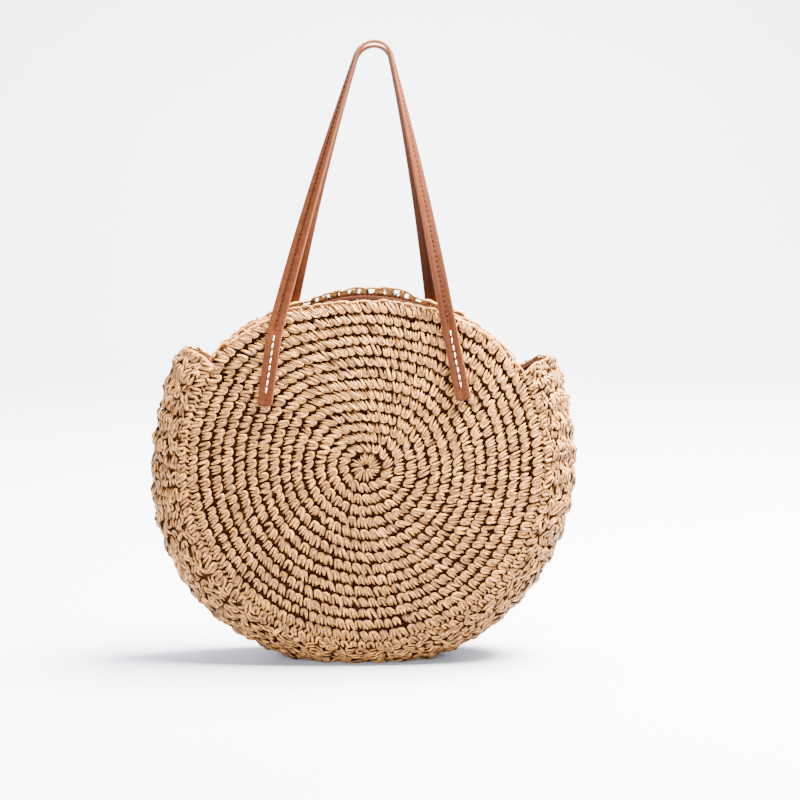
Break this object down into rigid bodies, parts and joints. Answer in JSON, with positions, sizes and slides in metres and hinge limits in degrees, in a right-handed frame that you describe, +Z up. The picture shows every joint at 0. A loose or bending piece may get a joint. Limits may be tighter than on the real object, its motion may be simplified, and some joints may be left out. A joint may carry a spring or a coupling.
{
  "type": "round straw tote bag",
  "caption": "Round crocheted straw tote with a wide rounded gusset, open mouth, cloth lining and a pair of tan leather strap handles that fold down.",
  "frame": {"origin": "on the floor under the middle of the bag", "axes": "+Z up through the handles, the front panel faces -Y, +X to the right as seen from the front"},
  "size_m": [0.4276, 0.1054, 0.6149],
  "materials": {
    "straw": "crocheted paper straw",
    "straw_strand": "twisted paper straw",
    "lining_cloth": "plain woven cloth",
    "handle_leather": "smooth vegetable-tanned leather",
    "white_thread": "waxed thread",
    "tan_thread": "tonal thread"
  },
  "bodies": {
    "bag": {"front_panel": "straw", "rear_panel": "straw", "gusset": "straw", "front_joining_strand": "straw_strand", "rear_joining_strand": "straw_strand", "front_rim_edging": "straw_strand", "rear_rim_edging": "straw_strand", "left_gusset_edging": "straw_strand", "right_gusset_edging": "straw_strand", "front_lining": "lining_cloth", "rear_lining": "lining_cloth", "gusset_lining": "lining_cloth", "slip_pocket": "lining_cloth", "front_left_tab": "handle_leather", "front_right_tab": "handle_leather", "rear_left_tab": "handle_leather", "rear_right_tab": "handle_leather", "front_left_anchor_stitches": "white_thread", "front_right_anchor_stitches": "white_thread", "rear_left_anchor_stitches": "white_thread", "rear_right_anchor_stitches": "white_thread"},
    "front_handle": {"front_handle_loop": "handle_leather", "front_handle_seam_thread": "tan_thread"},
    "rear_handle": {"rear_handle_loop": "handle_leather", "rear_handle_seam_thread": "tan_thread"}
  },
  "joints": [
    {"name": "front_handle_fold", "type": "hinge", "parent": "bag", "child": "front_handle", "pos_m": [-0.00338, -0.03736, 0.33774], "axis": [0.9997, 0.0013, 0.0249], "range_deg": [0, 160]},
    {"name": "rear_handle_fold", "type": "hinge", "parent": "bag", "child": "rear_handle", "pos_m": [-0.00338, 0.03808, 0.33778], "axis": [-0.9997, 0.0013, -0.0249], "range_deg": [0, 160]}
  ]
}
